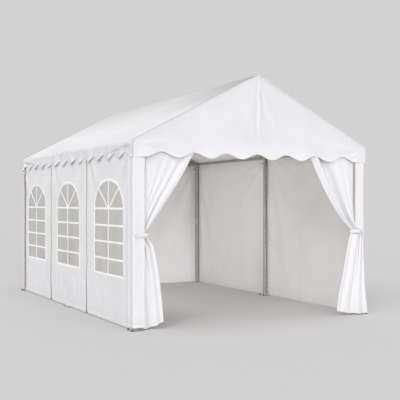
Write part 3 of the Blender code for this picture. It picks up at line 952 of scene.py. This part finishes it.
def makeCornerCover(endName, end, sideName, side):
    radius = cornerCover["round"]
    arm = cornerCover["width"] - radius - 0.0008
    bend = radius * math.pi / 2
    length = 2 * arm + bend
    outerX = tent["halfWidth"] - 0.001
    outerY = tent["halfLength"] - 0.001
    seed = 3.3 * end + 7.7 * side
    low = cornerCover["foot"][endName]
    top = cornerCover["top"]
    rows = cornerCover["rows"]

    def point(a, z, lift=0.0):
        # a runs from the door side of the post round to the wall side
        lowered = smooth(top, 1.5, z)
        slack = lowered * (1 + 1.4 * smooth(0.5, 0.1, z))
        off = cornerCover["creases"] * crumple(a * 0.8, z * 0.45 + a * 0.5, 0.13, seed) * slack
        off += 0.0025 * lowered * ripple(a, z * 0.3, 0.12, seed + 2)
        off = max(off, -0.0008) + lift
        off += cornerCover["curl"][endName] * smooth(length - 0.045, length, a) * smooth(top, 1.8, z)
        turn = min(max((a - arm) / radius, 0), math.pi / 2)
        nx = math.sin(turn)
        ny = math.cos(turn)
        x = outerX - radius * (1 - nx) - max(arm - a, 0)
        y = outerY - radius * (1 - ny) - max(a - arm - bend, 0)
        return Vector((side * (x + nx * off), end * (y + ny * off), z))

    marks = [arm * k / 9 for k in range(9)]
    marks += [arm + bend * k / 5 for k in range(5)]
    marks += [arm + bend + arm * k / 12 for k in range(13)]

    def place(i, j):
        z = mix(low, top, j / rows)
        return point(marks[i], z), (marks[i], z)

    name = f"cornerCover{endName.title()}{sideName.title()}"
    cover = makeSheet(f"{name}Cloth", len(marks) - 1, rows, place, wallFabric,
                      f"corner_cover_{endName}_{sideName}", (side, end, 0))
    bands = [(uprightPath(a, low + 0.002, top - 0.002, 0.03), cornerCover["edgeHem"], 0.0011)
             for a in (0.0085, length - 0.0085)]
    bands.append(([(a, low + 0.018) for a in marks], cornerCover["footHem"], 0.0013))
    hems = sewPiece(f"{name}Hems", point, bands)


def makeCornerCovers():
    for endName, end in ends.items():
        for sideName, side in sides.items():
            makeCornerCover(endName, end, sideName, side)


# curtains: a station is height, x beside the post, x of the free edge, y of the middle, fold depth
# a fold is its place across the cloth (0 at the post, 1 at the free edge), its width, and its
# depth far from the strap and at the strap; below nought it stands forward

leftCurtain = {
    "upper": [
        (1.962, -1.352, -0.728, -2.218, 0.024),
        (1.8, -1.357, -0.828, -2.218, 0.025),
        (1.577, -1.366, -0.961, -2.218, 0.027),
        (1.4, -1.378, -1.083, -2.216, 0.029),
        (1.2485, -1.388, -1.185, -2.214, 0.031),
        (1.13, -1.397, -1.271, -2.2125, 0.032),
        (1.06, -1.402, -1.322, -2.212, 0.032),
        (1.0225, -1.405, -1.338, -2.212, 0.03),
    ],
    "lower": [
        (0.9775, -1.405, -1.337, -2.212, 0.03),
        (0.935, -1.406, -1.296, -2.212, 0.032),
        (0.85, -1.407, -1.247, -2.212, 0.033),
        (0.62, -1.409, -1.2, -2.2115, 0.034),
        (0.39, -1.411, -1.17, -2.211, 0.035),
        (0.18, -1.412, -1.149, -2.211, 0.035),
        (0.012, -1.413, -1.136, -2.211, 0.035),
    ],
    "upperFolds": [(0.935, 0.06, -0.62, -0.7), (0.855, 0.015, 0.5, 1.0),
                   (0.775, 0.045, -0.26, -0.45), (0.69, 0.034, 0.06, 0.6),
                   (0.59, 0.08, -0.18, -0.35), (0.48, 0.04, 0.02, 0.6),
                   (0.37, 0.08, -0.14, -0.3), (0.27, 0.034, 0.02, 0.7),
                   (0.2, 0.02, 0.03, 0.9), (0.14, 0.016, 0.03, 0.9),
                   (0.085, 0.014, 0.1, 0.9), (0.03, 0.012, 0.6, 0.9)],
    "lowerFolds": [(0.955, 0.05, -0.5, -0.65), (0.87, 0.018, 0.05, 1.1),
                   (0.7, 0.13, -0.4, -0.5), (0.61, 0.02, 0.02, 1.05),
                   (0.52, 0.15, 0.16, -0.1), (0.345, 0.018, 0.0, 1.0),
                   (0.24, 0.11, -0.62, -0.6), (0.102, 0.009, 1.85, 1.4),
                   (0.068, 0.008, 1.45, 1.2), (0.036, 0.008, 1.45, 1.2),
                   (0.006, 0.008, 1.45, 1.2)],
    "gather": 5.0,
    "hemLift": 0.066,
    "seed": 61.0,
}
rightCurtain = {
    "upper": [
        (1.962, 1.357, 0.703, -2.22, 0.026),
        (1.884, 1.357, 0.742, -2.22, 0.027),
        (1.69, 1.356, 0.839, -2.22, 0.028),
        (1.487, 1.356, 0.951, -2.22, 0.029),
        (1.314, 1.357, 1.062, -2.222, 0.03),
        (1.169, 1.364, 1.171, -2.228, 0.03),
        (1.08, 1.38, 1.25, -2.239, 0.03),
        (1.0225, 1.42, 1.306, -2.247, 0.03),
    ],
    "lower": [
        (0.9775, 1.424, 1.3, -2.249, 0.03),
        (0.935, 1.448, 1.262, -2.272, 0.024),
        (0.77, 1.46, 1.218, -2.278, 0.027),
        (0.52, 1.474, 1.168, -2.278, 0.029),
        (0.26, 1.497, 1.108, -2.278, 0.029),
        (0.12, 1.516, 1.084, -2.278, 0.029),
        (0.012, 1.528, 1.072, -2.278, 0.029),
    ],
    "upperFolds": [(0.915, 0.05, -1.1, -1.0), (0.995, 0.03, 0.6, 0.35),
                   (0.785, 0.062, 2.1, 1.6), (0.69, 0.032, -0.75, -0.5),
                   (0.5, 0.13, -0.4, -0.5), (0.385, 0.034, 0.05, 0.8),
                   (0.22, 0.11, -0.3, -0.4), (0.11, 0.022, 0.04, 0.8),
                   (0.06, 0.018, 0.02, 0.8), (0.012, 0.012, 0.2, 0.8)],
    "lowerFolds": [(0.975, 0.022, -0.55, -0.7), (0.93, 0.014, 0.7, 1.05),
                   (0.76, 0.13, -0.5, -0.55), (0.56, 0.036, 0.24, 1.2),
                   (0.45, 0.022, -0.05, 1.5), (0.32, 0.11, -0.5, -0.6),
                   (0.16, 0.03, 0.32, 1.1), (0.05, 0.045, -0.45, -0.5)],
    "gather": 3.6,
    "hemLift": 0.052,
    "seed": 83.0,
}
curtainGrid = {"columns": 220, "above": 74, "below": 70}


def foldShape(folds, u, near):
    return sum(mix(far, close, near) * bell(u - middle, width) for middle, width, far, close in folds)


def curtainPoint(curtain, half, u, v, lift=0.0):
    height, post, free, middle, depth = curveThrough(curtain[half], v)
    if half == "upper":
        near = v
        fold = foldShape(curtain["upperFolds"], u, near ** 2)
        other = foldShape(curtain["lowerFolds"], u, 1.0)
    else:
        near = (1 - v) ** 2
        fold = foldShape(curtain["lowerFolds"], u, near)
        other = foldShape(curtain["upperFolds"], u, 1.0)
    atStrap = smooth(0.78, 1.0, near)
    fold = mix(fold, other, atStrap * 0.5)
    slack = 0.003 * crumple(u * 0.55, height * 0.8, 0.16, curtain["seed"])
    slack += 0.005 * ripple(u * 0.9, height * 0.35, 0.22, curtain["seed"] + 3)
    # near the strap the post's side is packed tight and the free edge stays loose
    across = mix(u, u ** curtain["gather"], near)
    x = mix(post, free, across) + 0.08 * depth * math.sin(u * 19) * (1 - u) * u * 4
    y = middle + depth * fold + slack * (1 - atStrap) - lift
    if half == "lower":
        height += curtain["hemLift"] * across ** 2.2 * v ** 3 + 0.003 * math.sin(u * 17) * v ** 6
    return Vector((x, y, height))


def makeCurtain(name, curtain, node, flat):
    columns = curtainGrid["columns"]
    above = curtainGrid["above"]
    below = curtainGrid["below"]

    def place(i, j):
        u = i / columns
        if j <= above:
            point = curtainPoint(curtain, "upper", u, j / above)
        elif j == above + 1:
            # the row behind the strap lies halfway between the two halves
            upper = curtainPoint(curtain, "upper", u, 1.0)
            point = (upper + curtainPoint(curtain, "lower", u, 0.0)) / 2
        else:
            point = curtainPoint(curtain, "lower", u, (j - above - 2) / below)
        return point, (u * flat[0], point.z)

    cloth = makeSheet(f"{name}Cloth", columns, above + below + 2, place, wallFabric,
                      node, (0, -1, 0))

    # hems along the free edge and round the foot
    trims = bmesh.new()
    for half, low, high in (("upper", 0.0, 0.93), ("lower", 0.1, 0.985)):
        def placeEdge(i, j):
            u = mix(0.915, 1.0, i / 4)
            point = curtainPoint(curtain, half, u, mix(low, high, j / 80), 0.0019)
            return point, (point.z, 0.018 - abs(i - 2) * 0.009)
        addGrid(trims, 4, 80, placeEdge)

    def placeFoot(i, j):
        point = curtainPoint(curtain, "lower", i / 90, mix(0.972, 0.9995, j / 2), 0.0019)
        return point, (i / 90 * flat[0], 0.014 - abs(j - 1) * 0.014)
    addGrid(trims, 90, 2, placeFoot)
    hems = makePiece(f"{name}Hems", trims, hemFabric, (), 0.0012, (0, -1, 0))


# straps that hold the curtains to the corners

strap = {
    "level": 1.0,
    "height": 0.042,
    "thickness": 0.0022,
    "knot": 0.014,  # widths of the wrap and of the loose end
    "tail": 0.013,
}
# path seen from above, place of the knot, and the loose end measured from it
straps = {
    "left": (
        [(-1.484, -2.2535), (-1.44, -2.2548), (-1.39, -2.2555), (-1.345, -2.2535),
         (-1.3255, -2.245), (-1.3215, -2.225), (-1.325, -2.195), (-1.345, -2.182),
         (-1.39, -2.1745), (-1.415, -2.1735)],
        (-1.474, -2.257, 1.0),
        [(0.004, -0.001, -0.014), (0.007, -0.004, -0.024), (0.005, -0.005, -0.036),
         (0.009, -0.005, -0.047)]),
    "right": (
        [(1.484, -2.2535), (1.452, -2.26), (1.43, -2.276), (1.395, -2.285),
         (1.34, -2.283), (1.302, -2.27), (1.29, -2.25), (1.296, -2.229),
         (1.33, -2.214), (1.375, -2.211), (1.405, -2.2125)],
        (1.462, -2.262, 1.0),
        [(0.002, -0.001, -0.014), (0.006, -0.005, -0.024), (0.004, -0.007, -0.036),
         (0.008, -0.007, -0.047)]),
}


def heading(points, k):
    # direction of a run of points at one of them
    return (points[min(k + 1, len(points) - 1)] - points[max(k - 1, 0)]).normalized()


def makeStrap(sideName, path, knot, tail):
    bm = bmesh.new()
    corners = [Vector((x, y, strap["level"])) for x, y in path]
    dense = [a.lerp(b, share) for a, b in zip(corners, corners[1:]) for share in (0.0, 0.34, 0.67)]
    dense.append(corners[-1])
    stations = []
    for k, spot in enumerate(dense):
        along = heading(dense, k)
        dip = 0.0035 * math.sin(k * 0.55 + 1)
        pinch = 1.05 - 0.12 * math.sin(k * 0.8) ** 2
        stations.append((spot + Vector((0, 0, dip)), Vector((0, 0, pinch)),
                         Vector((along.y, -along.x, 0))))
    addStrip(bm, stations, bandProfile(strap["height"], strap["thickness"], 0.0006))
    # flattened knot: a short wrap round the strap
    knot = Vector(knot)
    loop = []
    for k in range(14):
        turn = math.tau * k / 14
        offset = Vector((0, -0.005 * math.cos(turn), 0.0235 * math.sin(turn)))
        outward = Vector((0, -math.cos(turn), 0.5 * math.sin(turn))).normalized()
        loop.append((knot + offset, Vector((1, 0, 0)), outward))
    addStrip(bm, loop, bandProfile(strap["knot"], 0.0022, 0.0008), ring=True)
    # loose end
    tail = [Vector(spot) for spot in tail]
    front = Vector((0, -1, 0))
    end = []
    for k, spot in enumerate(tail):
        along = heading(tail, k)
        outward = (front - along * along.dot(front)).normalized()
        end.append((knot + spot, along.cross(outward), outward))
    addStrip(bm, end, bandProfile(strap["tail"], 0.0018, 0.0004))
    piece = makePiece(f"tieback{sideName.title()}Strap", bm, strapWebbing,
                      (f"tieback_{sideName}",))


def makeCurtains():
    for sideName, shape in straps.items():
        makeStrap(sideName, *shape)
    makeCurtain("curtainLeft", leftCurtain, "curtain_left", (0.68, 1.96))
    makeCurtain("curtainRight", rightCurtain, "curtain_right", (0.67, 1.96))


# fittings: eye screws in the couplers' sleeves, anchor bolts through the foot plates

eyeScrew = {
    "ring": 0.0105,
    "wire": 0.0026,
    "shank": 0.0035,
    "length": 0.016,
    "nut": 0.0075,
    "sleeve": 0.0225,  # radius of the tubes' sleeves
    "post": (0.0282, 0.082),  # inward and down from the coupler's centre
    "purlin": 0.078,  # distances along the tubes
    "rafter": 0.142,
    "apex": 0.078,
    "joints": (-0.9, 0.9),
    "joint": 0.034,
}
anchorBolt = {
    "head": 0.0105,
    "height": 0.01,
    "washer": 0.014,
    "shank": 0.005,
    "plate": 0.006,  # height of the foot plates
    "corner": (0.05, 0.05),  # outward and sideways from a post
    "middle": (-0.05, 0.048),
}


def addTurned(bm, where, axis, outline, count=6):
    # outline of (distance along the axis, radius), spun round the axis
    start = Vector(where)
    along = Vector(axis).normalized()
    aside = along.orthogonal().normalized()
    corners = [bm.verts.new(start + along * d + aside * r) for d, r in outline]
    edges = [bm.edges.new(pair) for pair in zip(corners, corners[1:])]
    bmesh.ops.spin(bm, geom=corners + edges, cent=start, axis=along, dvec=(0, 0, 0),
                   angle=math.tau, steps=count, use_merge=True, use_duplicate=False)


def addEyeScrew(bm, start, along, across):
    size = eyeScrew
    nut = size["nut"]
    outline = [(-0.002, 0.0), (-0.002, nut), (0.004, nut), (0.0052, nut * 0.8),
               (0.0052, size["shank"]), (size["length"], size["shank"]), (size["length"], 0.0)]
    addTurned(bm, start, along, outline)
    middle = start + along * (size["length"] + size["ring"] * 0.8)
    stations = []
    for k in range(14):
        turn = math.tau * k / 14
        spoke = along * math.cos(turn) + across * math.sin(turn)
        stations.append((middle + spoke * size["ring"], spoke, along.cross(across)))
    addStrip(bm, stations, roundProfile(size["wire"], 6), ring=True)


def makeFittings():
    bm = bmesh.new()
    size = eyeScrew
    sleeve = size["sleeve"]
    down = Vector((0, 0, -1))
    back = Vector((0, 1, 0))
    for side in sides.values():
        inward = Vector((-side, 0, 0))
        climb = Vector((-side * math.cos(slope), 0, math.sin(slope)))
        under = Vector((-side * math.sin(slope), 0, -math.cos(slope)))
        for y in frames:
            # through the sleeves of the post, the purlins, the rafter and the tie bar
            node = Vector((side * tent["postX"], y, tent["coupler"]))
            addEyeScrew(bm, node + inward * size["post"][0] + down * size["post"][1], inward, -down)
            for way in (-1, 1):
                if abs(y + way * size["purlin"]) < tent["postY"]:
                    spot = node + inward * sleeve + back * way * size["purlin"]
                    addEyeScrew(bm, spot, inward, back)
            addEyeScrew(bm, node + climb * size["rafter"] + under * sleeve, under, climb)
            if y:
                spot = node + inward * size["rafter"] + down * sleeve
                addEyeScrew(bm, spot, down, Vector((1, 0, 0)))
            peak = Vector((0, y, tent["apex"]))
            addEyeScrew(bm, peak - climb * size["apex"] + under * sleeve, under, -climb)
        # through the joint sleeves of the purlins
        for y in size["joints"]:
            for way in (-1, 1):
                spot = Vector((side * tent["postX"], y + way * size["joint"], tent["coupler"]))
                addEyeScrew(bm, spot + inward * sleeve, inward, back)
    makePiece("eyeScrews", bm, yellowZinc, sharp=35)

    bm = bmesh.new()
    size = anchorBolt
    top = 0.002 + size["height"]
    outline = [(-0.0058, 0.0), (-0.0058, size["shank"]), (0.0002, size["shank"]),
               (0.0002, size["washer"]), (0.002, size["washer"]), (0.002, size["head"]),
               (0.002 + size["height"] * 0.8, size["head"]), (top, size["head"] * 0.85), (top, 0.0)]
    for y in frames:
        # the middle posts' plates are bolted inside the wall
        out, aside = size["corner"] if y else size["middle"]
        for side in sides.values():
            for way in (-1, 1):
                where = (side * (tent["postX"] + out), y + way * aside, size["plate"])
                addTurned(bm, where, (0, 0, 1), outline)
    makePiece("anchorBolts", bm, rustAndShadeBolt, sharp=30)


# studio

studio = {
    "backdrop": (0.65, 0.647, 0.647),
    "floor": (0.6, 0.597, 0.597),
    # towards the lamp, strength, spread in degrees, colour
    "lamps": {
        "top": ((0.1, -0.05, 0.99), 0.59, 45, (1.0, 0.998, 0.995)),
        "key": ((-0.56, -0.54, 0.63), 0.74, 30, (1.0, 0.998, 0.998)),
        "front": ((-0.24, -0.97, 0.2), 1.14, 22, (1.0, 0.998, 0.998)),
        "side": ((-0.95, -0.28, 0.14), 0.48, 60, (0.998, 0.998, 1.0)),
    },
    "softbox": {"place": (-1.25, 0.35, 1.25), "target": (1.4, 0.35, 1.5), "size": (2.8, 0.9),
                "power": 25, "colour": (1.0, 0.965, 0.9)},
    "eye": (-4.681, -10.146, 1.341),
    "tilt": 90.19,
    "heading": -26.644,
    "lens": 73.2,
}


def addToScene(name, data):
    thing = bpy.data.objects.new(name, data)
    bpy.context.scene.collection.objects.link(thing)
    return thing


def makeLamps():
    for name, (towards, strength, spread, colour) in studio["lamps"].items():
        lamp = bpy.data.lights.new(name, "SUN")
        lamp.energy = strength
        lamp.angle = math.radians(spread)
        lamp.color = colour
        turn = Vector(towards).to_track_quat("Z", "Y")
        addToScene(name, lamp).rotation_euler = turn.to_euler()

    # warm light inside the tent
    box = studio["softbox"]
    lamp = bpy.data.lights.new("inside", "AREA")
    lamp.shape = "RECTANGLE"
    lamp.size, lamp.size_y = box["size"]
    lamp.energy = box["power"]
    lamp.color = box["colour"]
    holder = addToScene("inside", lamp)
    holder.location = box["place"]
    towards = Vector(box["target"]) - Vector(box["place"])
    holder.rotation_euler = towards.to_track_quat("-Z", "Y").to_euler()
    holder.visible_camera = False


def makeStudio():
    scene = bpy.context.scene
    scene.view_settings.view_transform = "Standard"
    world = bpy.data.worlds.new("studio")
    world.use_nodes = True
    world.node_tree.nodes["Background"].inputs[0].default_value = (*studio["backdrop"], 1)
    scene.world = world
    makeLamps()

    bm = bmesh.new()
    bmesh.ops.create_grid(bm, x_segments=1, y_segments=1, size=400)
    mesh = bpy.data.meshes.new("floor")
    bm.to_mesh(mesh)
    bm.free()
    mesh.materials.append(Nodes("paleFloor").dress({"Base Color": studio["floor"], "Roughness": 0.9,
                                                    "Specular IOR Level": 0.0}))
    addToScene("floor", mesh)

    lens = bpy.data.cameras.new("camera")
    lens.lens = studio["lens"]
    lens.sensor_width = 36
    lens.clip_end = 900
    camera = addToScene("camera", lens)
    camera.location = studio["eye"]
    camera.rotation_euler = (math.radians(studio["tilt"]), 0, math.radians(studio["heading"]))
    scene.camera = camera


makeStudio()
print("tent: studio ready")
dressFrame()
makeRoofCover()
print("tent: roof cover made")
for endName, end in ends.items():
    makeGable(endName, end)
print("tent: gables made")
makeLeftWall()
makePlainWall("right", (1, 0, 0))
makePlainWall("back", (0, 1, 0))
makeCornerCovers()
print("tent: walls made")
makeCurtains()
print("tent: curtains made")
makeFittings()
print("tent: fittings made")
